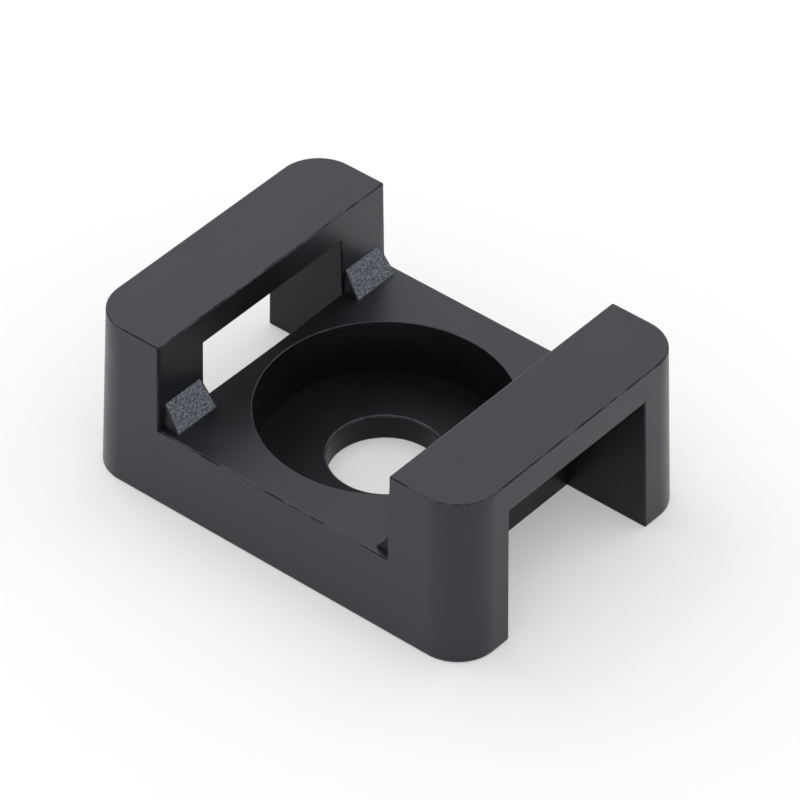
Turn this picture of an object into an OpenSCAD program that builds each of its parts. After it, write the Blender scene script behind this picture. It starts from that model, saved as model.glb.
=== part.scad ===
// Screw-down saddle mount for cable ties, moulded in one piece.
// The part stands on its flat base: origin at the centre of the base, +Z up,
// +X along the length, from bridge to bridge, +Y across, along the bars.

/* [Body] */
// Length over both bridges at the base, before its edge is rounded
length = 22.5; // [21.9:0.1:28]
// Width at the base, before its edge is rounded
width = 16.1; // [15:0.1:20]
// Height to the top of the bars
height = 8.95; // [8.3:0.05:12]
// Length of each bridge along X
bridge_l = 4.55; // [3.6:0.05:4.8]
// Thickness of the plate between the bridges
plate_t = 4.2; // [3:0.1:4.8]
// Plan radius of the outer corners, at the base
corner_r = 2.15; // [1:0.05:3]
// Draft of the outer faces, in degrees
draft = 1.6; // [0.5:0.1:3]

/* [Tie openings] */
// Width of each opening between the legs, at the base
opening_w = 9.8; // [7:0.1:11]
// Clear height for the tie between the plate and the bar
opening_h = 3.15; // [1.5:0.05:3.7]
// Draft of the legs' inner sides, in degrees
opening_draft = 0.9; // [0.1:0.1:2]

/* [Screw seat] */
// Diameter of the round pocket for the screw head, at its rim
pocket_d = 12.1; // [9:0.1:12.6]
// Draft of the pocket's wall, in degrees
pocket_draft = 2; // [0.5:0.1:6]
// Thickness of the seat under the screw head
seat_t = 1.35; // [0.8:0.05:2.5]
// Diameter of the screw hole
hole_d = 5.4; // [3.5:0.1:7]
// Radius of the edges round the pocket and round the hole
seat_edge_r = 0.1; // [0.05:0.01:0.2]

/* [Gussets] */
// Height of a gusset above the plate
gusset_h = 1.3; // [0.6:0.1:2.5]
// Reach of a gusset from its leg over the plate
gusset_reach = 0.9; // [0.4:0.05:1.5]
// Setback of a gusset's foot from the tie opening
gusset_inner_gap = 0.1; // [0.05:0.05:0.6]
// Setback of a gusset's foot from the outer side
gusset_outer_gap = 0.35; // [0.1:0.05:0.9]
// Draft of a gusset's two sides, in degrees
gusset_draft = 5; // [1:0.5:10]

/* [Edges] */
// Radius of the edges round the top of the bars and along the plate
top_r = 0.1; // [0.05:0.01:0.3]
// Radius of the edge round the base
foot_r = 0.1; // [0.05:0.01:0.4]
// Radius of the upright inner edges of the legs
upright_r = 0.12; // [0.05:0.01:0.4]

/* [Hidden] */
$fn = 96;

corner_x = length / 2 - corner_r;
corner_y = width / 2 - corner_r;
saddle_x = length / 2 - bridge_l;
opening_top = plate_t + opening_h;
lean = height * tan(draft);
top_run = top_r * tan(45 - draft / 2);
gusset_in = opening_half(plate_t) + gusset_inner_gap;
gusset_out = side_y(plate_t) - gusset_outer_gap;
gusset_lean = gusset_h * tan(gusset_draft);
past = 1;      // how far a cutter runs past what it cuts
root = 0.3;    // how deep a gusset is rooted in its leg and in the plate
proud = 0.0002;    // how far a rounding laps its two faces, to meet both cleanly

// Half width of the drafted body, and of a drafted tie opening, at height z
function side_y(z) = width / 2 - z * tan(draft);
function opening_half(z) = opening_w / 2 - z * tan(opening_draft);

// What rounding an edge takes away, round the rounding's own centre, where the
// two faces that meet there look out at the angles from and to.
module rounding_waste(r, from, to) {
    far = r + past;
    mid = (from + to) / 2;
    difference() {
        polygon([
            [0, 0],
            far * [cos(from), sin(from)],
            far / cos(mid - from) * [cos(mid), sin(mid)],
            far * [cos(to), sin(to)]
        ]);
        circle(r + proud);
    }
}

// Section of the border round the body, from a corner's centre line out to the
// drafted flank, with the rounded foot and the rounded top edge.
module flank() {
    difference() {
        polygon([[0, 0], [corner_r, 0], [corner_r - lean, height], [0, height]]);
        translate([corner_r - foot_r * tan(45 + draft / 2), foot_r])
            rounding_waste(foot_r, -90, draft);
        translate([corner_r - lean - top_run, height - top_r])
            rounding_waste(top_r, draft, 90);
    }
}

// The outer form: a core, a straight flank on each side and turned corners.
module block() {
    translate([-corner_x, -corner_y, 0])
        cube([2 * corner_x, 2 * corner_y, height]);
    for (turn = [0, 180])
        rotate([0, 0, turn]) {
            translate([corner_x, 0, 0])
                rotate([90, 0, 0])
                    linear_extrude(2 * corner_y, center = true)
                        flank();
            translate([0, corner_y, 0])
                rotate([90, 0, 90])
                    linear_extrude(2 * corner_x, center = true)
                        flank();
        }
    for (sx = [-1, 1], sy = [-1, 1])
        translate([sx * corner_x, sy * corner_y, 0])
            rotate_extrude()
                flank();
}

// The bundle's channel between the bridges, with its mouth rounded over.
module saddle() {
    rotate([90, 0, 0])
        linear_extrude(width + 2 * past, center = true) {
            translate([-saddle_x, plate_t])
                square([2 * saddle_x, height - plate_t + past]);
            for (sx = [0, 1])
                mirror([sx, 0])
                    translate([saddle_x + top_r, height - top_r])
                        rounding_waste(top_r, 90, 180);
        }
}

// The rounding of the plate's edge on the +Y side, from bridge to bridge.
module plate_edge() {
    translate([-saddle_x, side_y(plate_t) - top_run, plate_t - top_r])
        rotate([90, 0, 90])
            linear_extrude(2 * saddle_x)
                rounding_waste(top_r, draft, 90);
}

// The rounding of a leg's upright inner edge, on the +X, +Y leg.
module upright_edge() {
    intersection() {
        translate([saddle_x + upright_r, side_y(0), 0])
            rotate([draft, 0, 0])
                translate([0, -upright_r, 0])
                    linear_extrude(height + past)
                        rounding_waste(upright_r, 90, 180);
        translate([0, 0, plate_t])
            cube([length, width, height]);
    }
}

// A length of the tie's way, under the bar of the +X bridge, from x = start and
// z = low up to the bar.
module tie_way(start, low) {
    translate([start, 0, 0])
        rotate([90, 0, 90])
            linear_extrude(length / 2 + past - start)
                polygon([
                    [-opening_half(low), low],
                    [opening_half(low), low],
                    [opening_half(opening_top), opening_top],
                    [-opening_half(opening_top), opening_top]
                ]);
}

// The opening under that bar: down through the base outside the plate's end,
// and in over the plate into the saddle.
module tie_opening() {
    tie_way(saddle_x, -past);
    tie_way(saddle_x - past, plate_t);
}

// The drafted pocket for the screw head, the hole for its shank, and the
// roundings of both edges, turned as one.
module screw_seat() {
    hole_r = hole_d / 2;
    rim_r = pocket_d / 2;
    floor_r = rim_r - (plate_t - seat_t) * tan(pocket_draft);
    rotate_extrude() {
        polygon([
            [0, -past],
            [hole_r, -past],
            [hole_r, seat_t],
            [floor_r, seat_t],
            [rim_r, plate_t],
            [rim_r, plate_t + past],
            [0, plate_t + past]
        ]);
        translate([hole_r + seat_edge_r, seat_t - seat_edge_r])
            rounding_waste(seat_edge_r, 90, 180);
        translate([
            rim_r + seat_edge_r * tan(45 - pocket_draft / 2),
            plate_t - seat_edge_r
        ])
            rounding_waste(seat_edge_r, 90, 180 - pocket_draft);
    }
}

// The gusset on the +X, +Y leg, rooted in the leg and in the plate: what the
// section of its slope and the section of its drafted sides have in common.
module gusset() {
    intersection() {
        translate([saddle_x, gusset_out + past, plate_t])
            rotate([90, 0, 0])
                linear_extrude(gusset_out - gusset_in + 2 * past)
                    polygon([
                        [-gusset_reach, 0],
                        [0, gusset_h],
                        [root, gusset_h],
                        [root, -root],
                        [-gusset_reach, -root]
                    ]);
        translate([saddle_x - gusset_reach - past, 0, plate_t])
            rotate([90, 0, 90])
                linear_extrude(gusset_reach + root + 2 * past)
                    polygon([
                        [gusset_in, -root - past],
                        [gusset_in, 0],
                        [gusset_in + gusset_lean, gusset_h],
                        [gusset_in + gusset_lean, gusset_h + past],
                        [gusset_out - gusset_lean, gusset_h + past],
                        [gusset_out - gusset_lean, gusset_h],
                        [gusset_out, 0],
                        [gusset_out, -root - past]
                    ]);
    }
}

module saddle_mount() {
    color("#333437")
        union() {
            difference() {
                block();
                saddle();
                screw_seat();
                for (sx = [0, 1])
                    mirror([sx, 0, 0]) {
                        tie_opening();
                        for (sy = [0, 1])
                            mirror([0, sy, 0])
                                upright_edge();
                    }
                for (sy = [0, 1])
                    mirror([0, sy, 0])
                        plate_edge();
            }
            for (sx = [0, 1], sy = [0, 1])
                mirror([sx, 0, 0])
                    mirror([0, sy, 0])
                        gusset();
        }
}

saddle_mount();
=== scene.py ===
"""Looks of a screw-down saddle mount for cable ties, moulded in black nylon.

The mount is modelled anew round the fixed CAD frame. One quarter of it is drawn
as flat cells at the plate's level, raised and sunk into a solid, drafted and
mirrored into the whole, and then every edge gets the rounding of its own kind.
Lengths in the classes are in millimetres. The finished mesh is scaled to metres,
in the frame's axes: origin at the centre of the base, +Z up, +X from bridge to
bridge and +Y along the bars.
"""

import logging
import math
from collections.abc import Iterable
from dataclasses import dataclass, field, replace
from enum import Enum

import bmesh
import bpy
from bmesh.types import BMEdge, BMesh, BMFace, BMVert
from mathutils import Matrix, Vector, noise


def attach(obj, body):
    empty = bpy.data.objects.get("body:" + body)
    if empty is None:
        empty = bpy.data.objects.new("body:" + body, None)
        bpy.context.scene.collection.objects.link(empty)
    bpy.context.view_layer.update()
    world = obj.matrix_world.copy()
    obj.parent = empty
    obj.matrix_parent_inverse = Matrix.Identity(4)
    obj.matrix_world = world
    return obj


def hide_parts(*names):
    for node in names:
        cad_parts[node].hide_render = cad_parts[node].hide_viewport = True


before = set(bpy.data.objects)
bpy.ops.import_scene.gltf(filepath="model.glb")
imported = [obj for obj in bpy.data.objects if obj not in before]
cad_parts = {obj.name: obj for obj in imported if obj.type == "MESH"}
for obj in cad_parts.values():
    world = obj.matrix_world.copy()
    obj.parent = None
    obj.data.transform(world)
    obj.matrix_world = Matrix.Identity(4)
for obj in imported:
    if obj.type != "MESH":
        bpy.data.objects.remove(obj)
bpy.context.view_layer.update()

MM = 0.001  # a millimetre, in the scene's metres
NEAR = 1e-5  # lengths that differ by less than this are taken as the same
CROSSING = 0.5  # edges cross where the cosine of the angle between them is less
ROUND = 0.5  # a bevel's profile that is an arc of a circle
SHARP_TURN = math.radians(40)  # an edge stays sharp in the shading from this turn on
TILT = 0.1  # the most that the normal of an upright rounding points up or down
SCUFF_AND_HIGHLIGHT = "scuff_and_highlight"  # the mesh attribute that marks the rounded edges for their scuffs and painted highlights
X, Y, Z = range(3)  # the axes, as the numbers of a vector's parts
MIX_A, MIX_B, MIX_RESULT = 6, 7, 2  # the colour sockets of a Mix node

Colour = tuple[float, float, float]

log = logging.getLogger("saddle_mount")


# --- Small tools ----------------------------------------------------------------


def bearing(azimuth: float, elevation: float) -> Vector:
    """Give the direction that an azimuth and an elevation point in.

    Args:
        azimuth: The angle from -Y towards +X, in radians.
        elevation: The height above the floor, in radians.

    Returns:
        The direction, of length 1.
    """
    level = math.cos(elevation)
    return Vector(
        (math.sin(azimuth) * level, -math.cos(azimuth) * level, math.sin(elevation))
    )


def facing(away: Vector) -> Matrix:
    """Give the turn of a camera or lamp that looks back along a direction."""
    return (-away).to_track_quat("-Z", "Y").to_matrix().to_4x4()


def near(value: float, target: float) -> bool:
    """Tell whether two lengths are the same, apart from rounding."""
    return abs(value - target) < NEAR


def chain(bm: BMesh, points: Iterable[Vector], start: BMVert) -> BMVert:
    """Draw straight edges from a vertex through a row of points.

    Args:
        bm: The mesh that is drawn in.
        points: The points, in order.
        start: The vertex that the row starts from.

    Returns:
        The last vertex of the row.
    """
    last = start
    for point in points:
        vert = bm.verts.new(point)
        bm.edges.new((last, vert))
        last = vert
    return last


def arc(bm: BMesh, start: BMVert, centre: Vector, steps: int) -> BMVert:
    """Spin a vertex about an upright axis into a quarter of a circle.

    Args:
        bm: The mesh that is drawn in.
        start: The vertex that is spun.
        centre: A point on the axis.
        steps: The number of edges.

    Returns:
        The arc's last vertex.
    """
    made = bmesh.ops.spin(
        bm, geom=[start], cent=centre, axis=(0, 0, 1), angle=math.pi / 2, steps=steps
    )
    return next(item for item in made["geom_last"] if isinstance(item, BMVert))


def cell(bm: BMesh, start: BMVert, end: BMVert) -> BMFace:
    """Close a row of edges into one flat face.

    Args:
        bm: The mesh that is drawn in.
        start: The row's first vertex.
        end: The row's last vertex.

    Returns:
        The face.
    """
    bm.edges.new((end, start))
    loop = [edge for edge in bm.edges if not edge.link_faces]
    made = bmesh.ops.contextual_create(bm, geom=loop)
    return made["faces"][0]


def raised(bm: BMesh, faces: list[BMFace], by: Vector) -> list[BMFace]:
    """Extrude a region of faces along a vector.

    Args:
        bm: The mesh.
        faces: The region.
        by: How far the region moves.

    Returns:
        The moved faces.
    """
    made = bmesh.ops.extrude_face_region(bm, geom=faces)["geom"]
    moved = [item for item in made if isinstance(item, BMVert)]
    bmesh.ops.translate(bm, verts=moved, vec=by)
    kept = [face for face in faces if face.is_valid]
    bmesh.ops.delete(bm, geom=kept, context="FACES_KEEP_BOUNDARY")
    return [item for item in made if isinstance(item, BMFace)]


def sunk(
    bm: BMesh, edges: list[BMEdge], by: Vector, spread: float = 1.0
) -> list[BMEdge]:
    """Extrude a row of edges along a vector, and scale it about the Z axis.

    Args:
        bm: The mesh.
        edges: The row of edges.
        by: How far the row moves.
        spread: The scale of the moved row in plan.

    Returns:
        The moved edges.
    """
    made = bmesh.ops.extrude_edge_only(bm, edges=edges)["geom"]
    moved = [item for item in made if isinstance(item, BMVert)]
    bmesh.ops.scale(bm, verts=moved, vec=(spread, spread, 1))
    bmesh.ops.translate(bm, verts=moved, vec=by)
    return [item for item in made if isinstance(item, BMEdge) if is_free(item)]


def is_free(edge: BMEdge) -> bool:
    """Tell whether only one face hangs on an edge and the edge lies level."""
    return len(edge.link_faces) == 1 and near(edge.verts[0].co.z, edge.verts[1].co.z)


def direction(edge: BMEdge) -> Vector:
    """Give the direction of an edge."""
    return (edge.verts[1].co - edge.verts[0].co).normalized()


def is_grained(face: BMFace) -> bool:
    """Tell whether a face has the coarse finish."""
    return face.material_index == Finish.GRAINED.value


def gridded(bm: BMesh, face: BMFace, step: float) -> None:
    """Divide a four-sided face into a fine grid.

    Args:
        bm: The mesh.
        face: The face.
        step: About the side of the grid's squares.
    """
    sides = [face.edges[0], face.edges[2]]
    rungs = [face.edges[1], face.edges[3]]
    along = direction(sides[0])
    for edges in (sides, rungs):
        cuts = round(edges[0].calc_length() / step) - 1
        made = bmesh.ops.subdivide_edges(bm, edges=edges, cuts=cuts, use_grid_fill=True)
        for item in made["geom_inner"]:
            if isinstance(item, BMEdge) and abs(direction(item).dot(along)) < CROSSING:
                rungs.append(item)


# --- Node tools and finishes ----------------------------------------------------


class Desk:
    """A node tree that nodes are placed in and linked."""

    def __init__(self, tree: bpy.types.NodeTree) -> None:
        """Take a node tree in hand."""
        self.tree = tree

    @classmethod
    def over(cls, material: bpy.types.Material) -> "Desk":
        """Clear a material's own tree and take it in hand."""
        material.use_nodes = True
        material.node_tree.nodes.clear()
        return cls(material.node_tree)

    def add(
        self, kind: str, values: dict | None = None, **settings: object
    ) -> bpy.types.Node:
        """Place a node.

        Args:
            kind: The node's type.
            values: Values of its input sockets, by name or number.
            settings: The node's own settings.

        Returns:
            The node.
        """
        node = self.tree.nodes.new(kind)
        for name, value in settings.items():
            setattr(node, name, value)
        for socket, value in (values or {}).items():
            node.inputs[socket].default_value = value
        return node

    def link(self, source: bpy.types.NodeSocket, target: bpy.types.NodeSocket) -> None:
        """Link an output to an input."""
        self.tree.links.new(source, target)

    def finish(self, shader: bpy.types.Node) -> None:
        """Link a shader to the material's output."""
        out = self.add("ShaderNodeOutputMaterial")
        self.link(shader.outputs[0], out.inputs["Surface"])


class Finish(Enum):
    """The finishes of the mount, numbered as its material slots."""

    SATIN = 0
    GRAINED = 1
    DULL = 2
    EDGE = 3


ROUNDED = len(Finish)  # the slot that marks a rounding until it gets its finish


def new_group(name: str, inputs: dict[str, str], outputs: dict[str, str]) -> Desk:
    """Make a node group with its sockets.

    Args:
        name: The group's name.
        inputs: The type of each input, by name.
        outputs: The type of each output, by name.

    Returns:
        The group's tree, with its input and output nodes placed.
    """
    tree = bpy.data.node_groups.new(name, "ShaderNodeTree")
    for way, sockets in (("INPUT", inputs), ("OUTPUT", outputs)):
        for socket, kind in sockets.items():
            tree.interface.new_socket(socket, in_out=way, socket_type=kind)
    return Desk(tree)


def grain_group() -> bpy.types.NodeTree:
    """Build the grain of a moulded face: fine relief and slow mottling.

    Returns:
        The node group, which is built once.
    """
    name = "moulded_grain"
    if name in bpy.data.node_groups:
        return bpy.data.node_groups[name]
    desk = new_group(
        name,
        {
            "Place": "NodeSocketVector",
            "Grains per mm": "NodeSocketFloat",
            "Patches per mm": "NodeSocketFloat",
            "Spread": "NodeSocketFloat",
        },
        {"Height": "NodeSocketFloat", "Mottle": "NodeSocketFloat"},
    )
    given = desk.add("NodeGroupInput")
    out = desk.add("NodeGroupOutput")
    fine = desk.add("ShaderNodeTexNoise", {"Detail": 3.0, "Roughness": 0.6})
    slow = desk.add("ShaderNodeTexNoise", {"Detail": 2.0, "Roughness": 0.5})
    desk.link(given.outputs["Place"], fine.inputs["Vector"])
    desk.link(given.outputs["Place"], slow.inputs["Vector"])
    desk.link(given.outputs["Grains per mm"], fine.inputs["Scale"])
    desk.link(given.outputs["Patches per mm"], slow.inputs["Scale"])
    desk.link(fine.outputs["Fac"], out.inputs["Height"])
    middle = 0.5  # what a noise varies about
    lowest = desk.add("ShaderNodeMath", {0: middle}, operation="SUBTRACT")
    highest = desk.add("ShaderNodeMath", {0: middle}, operation="ADD")
    spread = desk.add("ShaderNodeMapRange")
    for end, socket in ((lowest, "From Min"), (highest, "From Max")):
        desk.link(given.outputs["Spread"], end.inputs[1])
        desk.link(end.outputs[0], spread.inputs[socket])
    desk.link(slow.outputs["Fac"], spread.inputs["Value"])
    desk.link(spread.outputs["Result"], out.inputs["Mottle"])
    return desk.tree


def scuff_and_highlight_group() -> bpy.types.NodeTree:
    """Build the scuffs and painted highlights of rounded edges: the rounding's own
    mask, broken up.

    Returns:
        The node group, which is built once.
    """
    name = "edge_wear"
    if name in bpy.data.node_groups:
        return bpy.data.node_groups[name]
    desk = new_group(
        name,
        {
            "Edge": "NodeSocketFloat",
            "Place": "NodeSocketVector",
            "Breaks per mm": "NodeSocketFloat",
        },
        {"Mask": "NodeSocketFloat"},
    )
    given = desk.add("NodeGroupInput")
    out = desk.add("NodeGroupOutput")
    breaks = desk.add("ShaderNodeTexNoise", {"Detail": 4.0, "Roughness": 0.65})
    desk.link(given.outputs["Place"], breaks.inputs["Vector"])
    desk.link(given.outputs["Breaks per mm"], breaks.inputs["Scale"])
    unscuffed_and_highlit, fully_marked = 0.4, 0.62  # the noise's values where the scuffs and painted highlights start and are full
    share = desk.add(
        "ShaderNodeMapRange",
        {"From Min": unscuffed_and_highlit, "From Max": fully_marked},
        interpolation_type="SMOOTHSTEP",
    )
    desk.link(breaks.outputs["Fac"], share.inputs["Value"])
    mask = desk.add("ShaderNodeMath", operation="MULTIPLY")
    desk.link(given.outputs["Edge"], mask.inputs[0])
    desk.link(share.outputs["Result"], mask.inputs[1])
    desk.link(mask.outputs[0], out.inputs["Mask"])
    return desk.tree


@dataclass(frozen=True)
class Nylon:
    """A moulded nylon finish.

    The colours are linear: the body goes from colour to mottled, and the rounded edges
    to a lighter colour that stands for scuffs and for painted highlights along them.
    The roughness goes from smooth to rough with the mottling. Grains, patches and the
    breaks in the scuffs and painted highlights are counted per millimetre, the grain's
    depth is in millimetres, and spread is how far the mottling's noise varies.
    """

    name: str
    colour: Colour
    mottled: Colour
    scuffed_and_highlit: Colour
    smooth: float
    rough: float
    grains: float
    grain_depth: float
    patches: float
    spread: float = 0.25
    breaks: float = 1.1
    ior: float = 1.56
    shine: float = 0.5
    sheen: Colour = (0.845, 0.89, 1.0)

    def blend(
        self,
        desk: Desk,
        share: bpy.types.NodeSocket,
        one: Colour | bpy.types.NodeSocket,
        two: Colour | bpy.types.NodeSocket,
    ) -> bpy.types.NodeSocket:
        """Mix two colours, each a colour or a socket, by a share.

        Args:
            desk: The material's tree.
            share: The output that drives the mix.
            one: The colour at share 0.
            two: The colour at share 1.

        Returns:
            The mixed colour's output.
        """
        mix = desk.add("ShaderNodeMix", data_type="RGBA")
        desk.link(share, mix.inputs["Factor"])
        for socket, value in ((MIX_A, one), (MIX_B, two)):
            if isinstance(value, tuple):
                mix.inputs[socket].default_value = (*value, 1)
            else:
                desk.link(value, mix.inputs[socket])
        return mix.outputs[MIX_RESULT]

    def material(self) -> bpy.types.Material:
        """Make the finish's material.

        Returns:
            The material, which reads Object coordinates.
        """
        material = bpy.data.materials.new(self.name)
        desk = Desk.over(material)
        space = desk.add("ShaderNodeTexCoord")
        place = desk.add("ShaderNodeVectorMath", {"Scale": 1 / MM}, operation="SCALE")
        desk.link(space.outputs["Object"], place.inputs[0])
        grain = desk.add("ShaderNodeGroup", node_tree=grain_group())
        grain.inputs["Grains per mm"].default_value = self.grains
        grain.inputs["Patches per mm"].default_value = self.patches
        grain.inputs["Spread"].default_value = self.spread
        desk.link(place.outputs[0], grain.inputs["Place"])
        # the rounded edges turn lighter in broken places: partly scuffs, partly painted
        # highlights
        edge = desk.add("ShaderNodeAttribute", attribute_name=SCUFF_AND_HIGHLIGHT)
        scuff_and_highlight = desk.add("ShaderNodeGroup", node_tree=scuff_and_highlight_group())
        scuff_and_highlight.inputs["Breaks per mm"].default_value = self.breaks
        desk.link(edge.outputs["Fac"], scuff_and_highlight.inputs["Edge"])
        desk.link(place.outputs[0], scuff_and_highlight.inputs["Place"])
        body = self.blend(desk, grain.outputs["Mottle"], self.colour, self.mottled)
        colour = self.blend(desk, scuff_and_highlight.outputs["Mask"], body, self.scuffed_and_highlit)
        gloss = desk.add(
            "ShaderNodeMapRange", {"To Min": self.smooth, "To Max": self.rough}
        )
        desk.link(grain.outputs["Mottle"], gloss.inputs["Value"])
        bump = desk.add("ShaderNodeBump", {"Distance": self.grain_depth * MM})
        desk.link(grain.outputs["Height"], bump.inputs["Height"])
        shader = desk.add(
            "ShaderNodeBsdfPrincipled",
            {
                "IOR": self.ior,
                "Specular IOR Level": self.shine,
                "Specular Tint": (*self.sheen, 1),
            },
        )
        desk.link(colour, shader.inputs["Base Color"])
        desk.link(gloss.outputs["Result"], shader.inputs["Roughness"])
        desk.link(bump.outputs["Normal"], shader.inputs["Normal"])
        desk.finish(shader)
        return material


def satin_nylon() -> Nylon:
    """Describe the smooth, satin faces of the moulding."""
    return Nylon(
        name="satin_nylon",
        colour=(0.0050, 0.0056, 0.0066),
        mottled=(0.0066, 0.0073, 0.0085),
        scuffed_and_highlit=(0.034, 0.035, 0.038),
        smooth=0.32,
        rough=0.38,
        grains=9.0,
        grain_depth=0.003,
        patches=0.5,
    )


def dull_shaded_nylon() -> Nylon:
    """Describe the duller faces inside the screw seat and the tie openings; their
    darker colour and weaker shine are partly a duller moulded finish and partly painted
    shade in these hollows.
    """
    return Nylon(
        name="dull_shaded_nylon",
        colour=(0.0046, 0.0052, 0.0062),
        mottled=(0.0064, 0.0071, 0.0083),
        scuffed_and_highlit=(0.034, 0.035, 0.038),
        smooth=0.36,
        rough=0.46,
        grains=11.0,
        grain_depth=0.004,
        patches=0.7,
        shine=0.2,
    )


def edge_shade_nylon() -> Nylon:
    """Describe the line along the middle of a rounded edge: a darker, duller strip that
    paints shade there, lighter in places for scuffs and painted highlights.
    """
    return replace(
        dull_shaded_nylon(),
        name="edge_shade_nylon",
        scuffed_and_highlit=(0.050, 0.053, 0.062),
        smooth=0.4,
        rough=0.5,
        breaks=0.8,
        shine=0.14,
    )


def grained_nylon() -> Nylon:
    """Describe the coarse, spark-eroded slopes of the gussets."""
    return Nylon(
        name="grained_nylon",
        colour=(0.022, 0.024, 0.029),
        mottled=(0.165, 0.180, 0.212),
        scuffed_and_highlit=(0.08, 0.085, 0.1),
        smooth=0.36,
        rough=0.5,
        grains=16.0,
        grain_depth=0.02,
        patches=10.0,
        spread=0.16,
    )


def nylons() -> dict[Finish, Nylon]:
    """List the nylon of each finish."""
    return {
        Finish.SATIN: satin_nylon(),
        Finish.GRAINED: grained_nylon(),
        Finish.DULL: dull_shaded_nylon(),
        Finish.EDGE: edge_shade_nylon(),
    }


@dataclass(frozen=True)
class Relief:
    """The coarse relief of a spark-eroded face, in millimetres.

    Its lumps are as wide as the grain, and its pits finer by the factor detail.
    The face keeps a plain border, and is divided into squares of the step's size.
    """

    step: float = 0.025
    border: float = 0.05
    grain: float = 0.1
    depth: float = 0.04
    detail: float = 2.3

    def height_at(self, place: Vector) -> float:
        """Work out how far the relief stands up at a place.

        Args:
            place: The place, in millimetres.

        Returns:
            The height above the plain face, less than 0 in a pit.
        """
        lumps = noise.noise(place / self.grain)
        pits = noise.noise(place * self.detail / self.grain)
        return self.depth * (lumps + pits / self.detail)


# --- The mount ----------------------------------------------------------------


class Rounding(Enum):
    """The kinds of edge that the mould rounds."""

    FOOT = "foot"
    UPRIGHT = "upright"
    TOP = "top"
    RIM = "rim"
    LIP = "lip"
    OPENING = "opening"
    GUSSET = "gusset"


def rounding_radii() -> dict[Rounding, float]:
    """List the radius of each kind of rounding, in millimetres."""
    return {
        Rounding.FOOT: 0.1,
        Rounding.UPRIGHT: 0.12,
        Rounding.TOP: 0.1,
        Rounding.RIM: 0.05,
        Rounding.LIP: 0.1,
        Rounding.OPENING: 0.07,
        Rounding.GUSSET: 0.03,
    }


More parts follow.
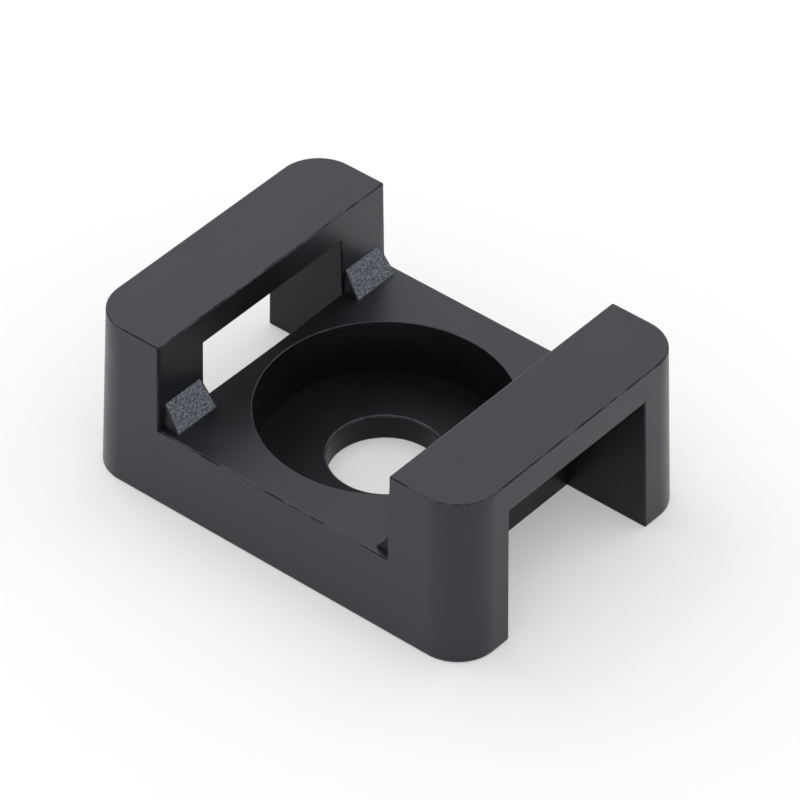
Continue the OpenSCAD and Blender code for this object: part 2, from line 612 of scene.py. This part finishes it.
@dataclass
class SaddleMount:
    """The one-piece mount: a plate with a screw seat between two bridges.

    The quarter that is modelled has its corner in +X and +Y. Lengths are in
    millimetres, and length, width, opening_w and corner_r are measured at the base.
    """

    name: str = "mount_body"
    node: str = "saddle_mount"
    body: str = "root"
    slot: str = "nylon"
    length: float = 22.5
    width: float = 16.1
    height: float = 8.95
    bridge_l: float = 4.55
    plate_t: float = 4.2
    corner_r: float = 2.08
    end_draft: float = math.radians(1.75)
    side_draft: float = math.radians(1.35)
    opening_w: float = 9.8
    opening_h: float = 3.15
    opening_draft: float = math.radians(0.9)
    pocket_d: float = 12.1
    pocket_draft: float = math.radians(2)
    seat_t: float = 1.35
    hole_d: float = 5.4
    gusset_h: float = 1.3
    gusset_reach: float = 0.9
    gusset_inner_gap: float = 0.1
    gusset_outer_gap: float = 0.35
    gusset_draft: float = math.radians(5)
    pocket_steps: int = 32
    corner_steps: int = 16
    rounding_steps: int = 4
    radii: dict[Rounding, float] = field(default_factory=rounding_radii)
    # how much of the scuffs and painted highlights the upright roundings get
    upright_scuff_and_highlight: float = 0.3
    relief: Relief = Relief()
    bm: BMesh = field(default_factory=bmesh.new, repr=False)

    def __post_init__(self) -> None:
        """Work out the levels and places that follow from the sizes."""
        self.corner = Vector(
            (self.length / 2 - self.corner_r, self.width / 2 - self.corner_r, 0)
        )
        self.saddle_x = self.length / 2 - self.bridge_l
        self.opening_y = self.opening_w / 2
        self.opening_top = self.plate_t + self.opening_h
        self.gusset_x = self.saddle_x - self.gusset_reach
        self.gusset_top = self.plate_t + self.gusset_h
        self.gusset_y0 = (
            self.opening_y
            - self.plate_t * math.tan(self.opening_draft)
            + self.gusset_inner_gap
        )
        self.gusset_y1 = (
            self.width / 2
            - self.plate_t * math.tan(self.side_draft)
            - self.gusset_outer_gap
        )
        self.gusset_lean = self.gusset_h * math.tan(self.gusset_draft)

    # The quarter's form

    def at_plate(self, places: Iterable[tuple[float, float]]) -> list[Vector]:
        """Give places in plan as points at the plate's level."""
        return [Vector((x, y, self.plate_t)) for x, y in places]

    def draw_plate(self) -> BMFace:
        """Draw the plate's cell, cut out round the pocket and the gusset.

        Returns:
            The cell's face.
        """
        rim = self.pocket_d / 2
        start = self.bm.verts.new((rim, 0, self.plate_t))
        last = arc(self.bm, start, Vector(), self.pocket_steps)
        corners = [
            (0, self.width / 2),
            (self.saddle_x, self.width / 2),
            (self.saddle_x, self.gusset_y1),
            (self.gusset_x, self.gusset_y1),
            (self.gusset_x, self.gusset_y0),
            (self.saddle_x, self.gusset_y0),
            (self.saddle_x, self.opening_y),
            (self.saddle_x, 0),
        ]
        last = chain(self.bm, self.at_plate(corners), last)
        return cell(self.bm, start, last)

    def draw_gusset(self) -> BMFace:
        """Draw the cell that the gusset stands on.

        Returns:
            The cell's face.
        """
        start = self.bm.verts.new((self.gusset_x, self.gusset_y0, self.plate_t))
        corners = [
            (self.saddle_x, self.gusset_y0),
            (self.saddle_x, self.gusset_y1),
            (self.gusset_x, self.gusset_y1),
        ]
        last = chain(self.bm, self.at_plate(corners), start)
        return cell(self.bm, start, last)

    def draw_leg(self) -> BMFace:
        """Draw the leg's cell, with the body's rounded corner.

        Returns:
            The cell's face.
        """
        start = self.bm.verts.new((self.saddle_x, self.opening_y, self.plate_t))
        inner = [(self.length / 2, self.opening_y), (self.length / 2, self.corner.y)]
        last = chain(self.bm, self.at_plate(inner), start)
        last = arc(self.bm, last, self.corner, self.corner_steps)
        outer = [
            (self.saddle_x, self.width / 2),
            (self.saddle_x, self.gusset_y1),
            (self.saddle_x, self.gusset_y0),
        ]
        last = chain(self.bm, self.at_plate(outer), last)
        return cell(self.bm, start, last)

    def raise_leg(self, leg: BMFace, gusset: BMFace) -> None:
        """Raise the leg in steps, with the gusset up to its own height.

        Args:
            leg: The leg's cell.
            gusset: The gusset's cell.
        """
        tops = raised(self.bm, [leg, gusset], Vector((0, 0, self.gusset_h)))
        step = self.opening_top - self.gusset_top
        leg_top = max(tops, key=BMFace.calc_area)
        tops = raised(self.bm, [leg_top], Vector((0, 0, step)))
        raised(self.bm, tops, Vector((0, 0, self.height - self.opening_top)))

    def slope_gusset(self) -> None:
        """Bring the gusset block's outer top edge down to the plate."""
        moved = [
            vert
            for vert in self.bm.verts
            if near(vert.co.x, self.gusset_x) and near(vert.co.z, self.gusset_top)
        ]
        bmesh.ops.translate(self.bm, verts=moved, vec=(0, 0, -self.gusset_h))
        bmesh.ops.remove_doubles(self.bm, verts=self.bm.verts, dist=NEAR)
        for face in self.bm.faces:
            high = [vert for vert in face.verts if near(vert.co.z, self.gusset_top)]
            far = [vert for vert in face.verts if near(vert.co.x, self.gusset_x)]
            if len(high) == len(far) == 2:
                face.material_index = Finish.GRAINED.value

    def reach_bar(self) -> None:
        """Run the bar from the leg's inner side to the middle of the mount."""
        ends = [
            face
            for face in self.bm.faces
            if all(
                near(vert.co.y, self.opening_y)
                and vert.co.z > self.opening_top - NEAR
                for vert in face.verts
            )
        ]
        middle = raised(self.bm, ends, Vector((0, -self.opening_y, 0)))
        bmesh.ops.delete(self.bm, geom=middle, context="FACES_ONLY")

    def sink_base(self) -> None:
        """Sink the outer walls, the pocket and the hole, and close the base."""
        rim_r = self.pocket_d / 2
        depth = self.plate_t - self.seat_t
        floor_r = rim_r - depth * math.tan(self.pocket_draft)
        rim = []
        outline = []
        for edge in self.bm.edges:
            if not is_free(edge) or not near(edge.verts[0].co.z, self.plate_t):
                continue
            radii = [vert.co.to_2d().length for vert in edge.verts]
            on_rim = all(near(radius, rim_r) for radius in radii)
            on_seam = any(
                all(near(vert.co[axis], 0) for vert in edge.verts) for axis in (X, Y)
            )
            if on_rim:
                rim.append(edge)
            elif not on_seam:
                outline.append(edge)
        sunk(self.bm, outline, Vector((0, 0, -self.plate_t)))
        lip = sunk(self.bm, rim, Vector((0, 0, -depth)), floor_r / rim_r)
        bore = sunk(self.bm, lip, Vector(), self.hole_d / 2 / floor_r)
        sunk(self.bm, bore, Vector((0, 0, -self.seat_t)))
        self.close_base()

    def close_base(self) -> None:
        """Join the base's outline and the hole along the seams and fill it."""
        for axis in (X, Y):
            ends = [
                vert
                for vert in self.bm.verts
                if near(vert.co.z, 0) and near(vert.co[axis], 0)
            ]
            self.bm.edges.new(ends)
        loop = [
            edge
            for edge in self.bm.edges
            if len(edge.link_faces) < 2
            and all(near(vert.co.z, 0) for vert in edge.verts)
        ]
        bmesh.ops.contextual_create(self.bm, geom=loop)

    # Edges, drafts and the whole

    def on_outline(self, vert: BMVert) -> bool:
        """Tell whether a vertex of the undrafted quarter is on its outer walls.

        Args:
            vert: The vertex.

        Returns:
            Whether it lies on the outline's straights or on its rounded corner.
        """
        plan = vert.co.to_2d()
        core = Vector((min(plan.x, self.corner.x), min(plan.y, self.corner.y)))
        return near((plan - core).length, self.corner_r)

    def rounding_of(self, edge: BMEdge) -> Rounding | None:
        """Name the rounding of an edge of the undrafted quarter.

        Args:
            edge: The edge.

        Returns:
            The kind of its rounding, or None where the edge stays as it is.
        """
        ends = edge.verts

        def both(axis: int, value: float) -> bool:
            """Tell whether both ends have the same value on an axis."""
            return all(near(vert.co[axis], value) for vert in ends)

        outer = all(self.on_outline(vert) for vert in ends)
        radii = [vert.co.to_2d().length for vert in ends]
        inside = all(vert.co.x < self.saddle_x + NEAR for vert in ends)
        low = all(vert.co.y < self.opening_y + NEAR for vert in ends)
        up = min(vert.co.z for vert in ends)
        top = max(vert.co.z for vert in ends)
        seam = both(X, 0) or both(Y, 0)
        if seam or edge.is_boundary:
            return None
        if both(Z, self.height) and (outer or both(X, self.saddle_x)):
            return Rounding.TOP
        if both(Z, self.plate_t) and outer and inside:
            return Rounding.TOP
        if both(Z, 0) and outer:
            return Rounding.FOOT
        if both(Z, 0):
            return Rounding.OPENING
        above = up > self.plate_t - NEAR
        if both(X, self.saddle_x) and both(Y, self.width / 2) and above:
            return Rounding.UPRIGHT
        if both(Z, self.plate_t) and all(near(r, self.pocket_d / 2) for r in radii):
            return Rounding.RIM
        if both(Z, self.seat_t) and all(near(r, self.hole_d / 2) for r in radii):
            return Rounding.LIP
        if both(Z, self.plate_t) and both(X, self.saddle_x) and low:
            return Rounding.OPENING
        if both(Z, self.opening_top) and low and (
            both(X, self.saddle_x) or both(X, self.length / 2)
        ):
            return Rounding.OPENING
        if both(Y, self.opening_y) and top < self.opening_top + NEAR and top > up:
            if both(X, self.length / 2):
                return Rounding.OPENING
            if both(X, self.saddle_x) and above:
                return Rounding.OPENING
        if any(face.material_index for face in edge.link_faces) and top > up:
            return Rounding.GUSSET
        return None

    def weigh_edges(self) -> None:
        """Give every edge the share of the largest rounding that is its own."""
        layer = self.bm.edges.layers.float.new("bevel_weight_edge")
        largest = max(self.radii.values())
        for edge in self.bm.edges:
            kind = self.rounding_of(edge)
            if kind is not None:
                edge[layer] = self.radii[kind] / largest

    def draft_walls(self) -> None:
        """Lean the outer walls and the sides of the opening and the gusset."""
        for vert in self.bm.verts:
            z = vert.co.z
            at_end = vert.co.x > self.corner.x - NEAR
            at_side = vert.co.y > self.corner.y - NEAR
            if self.on_outline(vert):
                vert.co.x -= z * math.tan(self.end_draft) * at_end
                vert.co.y -= z * math.tan(self.side_draft) * at_side
            if near(vert.co.y, self.opening_y) and vert.co.x > self.saddle_x - NEAR:
                vert.co.y -= min(z, self.opening_top) * math.tan(self.opening_draft)
            if near(vert.co.x, self.saddle_x) and near(z, self.gusset_top):
                if near(vert.co.y, self.gusset_y0):
                    vert.co.y += self.gusset_lean
                elif near(vert.co.y, self.gusset_y1):
                    vert.co.y -= self.gusset_lean

    def mirror_quarter(self) -> None:
        """Mirror the quarter into the whole, and turn its faces outwards."""
        for axis in "XY":
            bmesh.ops.mirror(
                self.bm, geom=[*self.bm.verts, *self.bm.edges, *self.bm.faces],
                matrix=Matrix(), axis=axis, merge_dist=NEAR,
            )
        bmesh.ops.remove_doubles(self.bm, verts=self.bm.verts, dist=NEAR)
        bmesh.ops.recalc_face_normals(self.bm, faces=self.bm.faces)

    def model(self) -> None:
        """Model the quarter, mark its edges, and mirror it into the whole."""
        self.draw_plate()
        gusset = self.draw_gusset()
        leg = self.draw_leg()
        bmesh.ops.remove_doubles(self.bm, verts=self.bm.verts, dist=NEAR)
        self.raise_leg(leg, gusset)
        self.slope_gusset()
        self.reach_bar()
        self.sink_base()
        self.weigh_edges()
        self.draft_walls()
        self.mirror_quarter()

    def round_edges(self) -> None:
        """Round every marked edge with a bevel of its own width."""
        mesh = bpy.data.meshes.new("unrounded")
        self.bm.to_mesh(mesh)
        for _ in range(ROUNDED + 1):
            mesh.materials.append(None)
        rough = bpy.data.objects.new("unrounded", mesh)
        bpy.context.scene.collection.objects.link(rough)
        bevel = rough.modifiers.new("roundings", "BEVEL")
        bevel.limit_method = "WEIGHT"
        bevel.width = max(self.radii.values())
        bevel.segments = self.rounding_steps
        bevel.profile = ROUND
        bevel.material = ROUNDED
        bevel.use_clamp_overlap = False
        rounded = rough.evaluated_get(bpy.context.evaluated_depsgraph_get())
        self.bm.clear()
        self.bm.from_mesh(rounded.to_mesh())
        bpy.data.objects.remove(rough)
        bpy.data.meshes.remove(mesh)
        bmesh.ops.remove_doubles(self.bm, verts=self.bm.verts, dist=NEAR)

    def in_seat(self, face: BMFace) -> bool:
        """Tell whether a face lies in the pocket or in the screw hole."""
        reach = max(vert.co.to_2d().length for vert in face.verts)
        return reach < self.pocket_d / 2 + NEAR

    def in_opening(self, face: BMFace) -> bool:
        """Tell whether a face lies in a tie opening, by its middle."""
        place = face.calc_center_median()
        return (
            abs(place.x) > self.saddle_x - NEAR
            and abs(place.y) < self.opening_y
            and place.z < self.opening_top + NEAR
        )

    def on_gusset(self, face: BMFace) -> bool:
        """Tell whether a face is one of the sides of a gusset."""
        place = face.calc_center_median()
        return (
            self.gusset_x < abs(place.x) < self.saddle_x - NEAR
            and place.z > self.plate_t + NEAR
        )

    def is_inner(self, face: BMFace) -> bool:
        """Tell whether a face is one of the inner faces that get the duller finish with
        its painted shade.
        """
        return self.in_seat(face) or self.in_opening(face) or self.on_gusset(face)

    def is_edge_line(self, face: BMFace) -> bool:
        """Tell whether a face lies in the middle of a rounding, off the screw seat.

        Args:
            face: The face.

        Returns:
            Whether both its long sides meet other faces of a rounding.
        """
        sides = sorted(face.edges, key=BMEdge.calc_length)[-2:]
        beside = [near_by for side in sides for near_by in side.link_faces]
        reach = max(vert.co.to_2d().length for vert in face.verts)
        in_middle = all(other.material_index == ROUNDED for other in beside)
        return in_middle and reach > self.pocket_d / 2 + max(self.radii.values())

    def dress_faces(self) -> None:
        """Give every face its finish, and mark the rounded edges for their scuffs and
        painted highlights.
        """
        scuffed_and_highlit = self.bm.loops.layers.float.new(SCUFF_AND_HIGHLIGHT)
        lines = {face for face in self.bm.faces if self.is_edge_line(face)}
        for face in self.bm.faces:
            face.smooth = True
            if face.material_index == ROUNDED:
                # the middle of each rounding away from the seat gets a painted line of
                # shade
                finish = Finish.EDGE if face in lines else Finish.SATIN
                face.material_index = finish.value
                # upright roundings get less of the lighter colour of scuffs and painted
                # highlights
                is_upright = abs(face.normal.z) < TILT
                for loop in face.loops:
                    loop[scuffed_and_highlit] = self.upright_scuff_and_highlight if is_upright else 1.0
            elif not is_grained(face) and self.is_inner(face):
                # inner faces get the duller finish, which also paints shade in the
                # hollows
                face.material_index = Finish.DULL.value

    def roughen_slopes(self) -> None:
        """Divide the gussets' slopes finely and give them their relief."""
        for face in [face for face in self.bm.faces if is_grained(face)]:
            made = bmesh.ops.inset_region(
                self.bm, faces=[face], thickness=self.relief.border
            )
            for border in made["faces"]:
                border.material_index = Finish.SATIN.value
            gridded(self.bm, face, self.relief.step)
        self.bm.normal_update()
        for vert in self.bm.verts:
            if all(is_grained(face) for face in vert.link_faces):
                vert.co += vert.normal * self.relief.height_at(vert.co)

    def sharpen_corners(self) -> None:
        """Keep the edges between unrounded faces sharp in the shading."""
        for edge in self.bm.edges:
            turn = abs(edge.calc_face_angle_signed(0))
            grained = any(is_grained(face) for face in edge.link_faces)
            edge.smooth = turn < SHARP_TURN or grained

    def build(self) -> bpy.types.Object:
        """Model the whole mount, dress it and put it in the scene.

        Returns:
            The mount's one piece.
        """
        self.model()
        self.round_edges()
        self.dress_faces()
        self.roughen_slopes()
        self.sharpen_corners()
        bmesh.ops.scale(self.bm, verts=self.bm.verts, vec=(MM, MM, MM))
        mesh = bpy.data.meshes.new(self.name)
        self.bm.to_mesh(mesh)
        self.bm.free()
        for finish in Finish:
            mesh.materials.append(nylons()[finish].material())
        piece = bpy.data.objects.new(self.name, mesh)
        bpy.context.scene.collection.objects.link(piece)
        shading = piece.modifiers.new("flat_faces", "WEIGHTED_NORMAL")
        shading.keep_sharp = True
        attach(piece, self.body)
        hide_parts(self.node)
        return piece


# --- The studio ---------------------------------------------------------------


@dataclass
class View:
    """The camera, aimed at a point on the floor from a direction and distance.

    Angles are in radians, lens and sensor in millimetres, and other lengths in metres.
    """

    azimuth: float = math.radians(39.58)
    elevation: float = math.radians(40.18)
    roll: float = math.radians(0.48)
    distance: float = 0.2884
    aim: Vector = field(default_factory=lambda: Vector((-0.00297, 0.004595, 0)))
    lens: float = 280.2
    sensor: float = 36.0
    nearest: float = 0.001
    farthest: float = 20.0

    def build(self) -> bpy.types.Object:
        """Make the camera and let the scene look through it.

        Returns:
            The camera.
        """
        back = bearing(self.azimuth, self.elevation)
        data = bpy.data.cameras.new("camera")
        data.lens = self.lens
        data.sensor_width = self.sensor
        data.clip_start = self.nearest
        data.clip_end = self.farthest
        camera = bpy.data.objects.new("camera", data)
        bpy.context.scene.collection.objects.link(camera)
        place = Matrix.Translation(self.aim + back * self.distance)
        camera.matrix_world = place @ facing(back) @ Matrix.Rotation(self.roll, 4, "Z")
        bpy.context.scene.camera = camera
        return camera


@dataclass(frozen=True)
class SoftBox:
    """A large square white lamp that faces the mount from a direction.

    Angles are in radians and lengths in metres.
    """

    name: str
    azimuth: float
    elevation: float
    radiance: float
    side: float = 0.4
    distance: float = 0.5

    def build(self) -> bpy.types.Object:
        """Make the lamp, with the power that gives its face the stated radiance.

        Returns:
            The lamp.
        """
        away = bearing(self.azimuth, self.elevation)
        data = bpy.data.lights.new(self.name, "AREA")
        data.shape = "SQUARE"
        data.size = self.side
        data.energy = self.radiance * math.pi * self.side**2
        lamp = bpy.data.objects.new(self.name, data)
        bpy.context.scene.collection.objects.link(lamp)
        lamp.matrix_world = Matrix.Translation(away * self.distance) @ facing(away)
        return lamp


@dataclass
class Floor:
    """The pale floor that the mount stands on, clear when seen from below.

    Lengths are in metres. The floor lies lower than the base by its drop, which keeps
    the two faces apart, and its lift is what it adds to its colour where it is seen.
    """

    name: str = "floor"
    side: float = 6.0
    drop: float = 0.00001
    colour: Colour = (0.64, 0.64, 0.642)
    lift: float = 0.28

    def material(self) -> bpy.types.Material:
        """Make the floor's material: it keeps shadows and looks near white.

        Returns:
            The material.
        """
        material = bpy.data.materials.new(self.name)
        desk = Desk.over(material)
        rays = desk.add("ShaderNodeLightPath")
        seen = rays.outputs["Is Camera Ray"]
        for kind in ("Is Glossy Ray", "Is Transmission Ray"):
            either = desk.add("ShaderNodeMath", operation="MAXIMUM")
            desk.link(seen, either.inputs[0])
            desk.link(rays.outputs[kind], either.inputs[1])
            seen = either.outputs[0]
        glow = desk.add("ShaderNodeMath", {1: self.lift}, operation="MULTIPLY")
        desk.link(seen, glow.inputs[0])
        shader = desk.add(
            "ShaderNodeBsdfPrincipled",
            {
                "Base Color": (*self.colour, 1),
                "Roughness": 1.0,
                "Specular IOR Level": 0.0,
                "Emission Color": (1, 1, 1, 1),
            },
        )
        desk.link(glow.outputs[0], shader.inputs["Emission Strength"])
        side = desk.add("ShaderNodeNewGeometry")
        clear = desk.add("ShaderNodeBsdfTransparent")
        one_sided = desk.add("ShaderNodeMixShader")
        desk.link(side.outputs["Backfacing"], one_sided.inputs["Fac"])
        desk.link(shader.outputs[0], one_sided.inputs[1])
        desk.link(clear.outputs[0], one_sided.inputs[2])
        desk.finish(one_sided)
        return material

    def build(self) -> bpy.types.Object:
        """Returns:
            The floor.
        """
        bm = bmesh.new()
        bmesh.ops.create_grid(bm, x_segments=1, y_segments=1, size=self.side / 2)
        bmesh.ops.translate(bm, verts=bm.verts, vec=(0, 0, -self.drop))
        mesh = bpy.data.meshes.new(self.name)
        bm.to_mesh(mesh)
        bm.free()
        mesh.materials.append(self.material())
        plane = bpy.data.objects.new(self.name, mesh)
        bpy.context.scene.collection.objects.link(plane)
        return plane


@dataclass
class Studio:
    """White surroundings, soft lamps and a plain view transform."""

    surround: float = 1.0
    white: Colour = (1.0, 1.0, 1.0)
    left_box: SoftBox = SoftBox(
        "left_box", azimuth=math.radians(270), elevation=math.radians(45), radiance=0.95
    )
    back_box: SoftBox = SoftBox(
        "back_box", azimuth=math.radians(170), elevation=math.radians(45), radiance=0.25
    )
    low_box: SoftBox = SoftBox(
        "low_box",
        azimuth=math.radians(219),
        elevation=math.radians(20),
        radiance=0.4,
        side=0.25,
    )

    def build(self) -> None:
        """Light the world and place the lamps."""
        scene = bpy.context.scene
        scene.view_settings.view_transform = "Standard"
        scene.world = bpy.data.worlds.new("surround")
        scene.world.use_nodes = True
        tree = scene.world.node_tree
        tree.nodes.clear()
        desk = Desk(tree)
        sky = desk.add(
            "ShaderNodeBackground",
            {"Color": (*self.white, 1), "Strength": self.surround},
        )
        out = desk.add("ShaderNodeOutputWorld")
        desk.link(sky.outputs[0], out.inputs["Surface"])
        for box in (self.left_box, self.back_box, self.low_box):
            box.build()


def main() -> None:
    """Build the mount and its studio, and report each piece."""
    logging.basicConfig(level=logging.INFO, format="%(name)s: %(message)s")
    piece = SaddleMount().build()
    log.info("%s: %d faces", piece.name, len(piece.data.polygons))
    floor = Floor().build()
    log.info("%s: %.1f m square", floor.name, floor.dimensions.x)
    View().build()
    Studio().build()


if __name__ == "__main__":
    main()
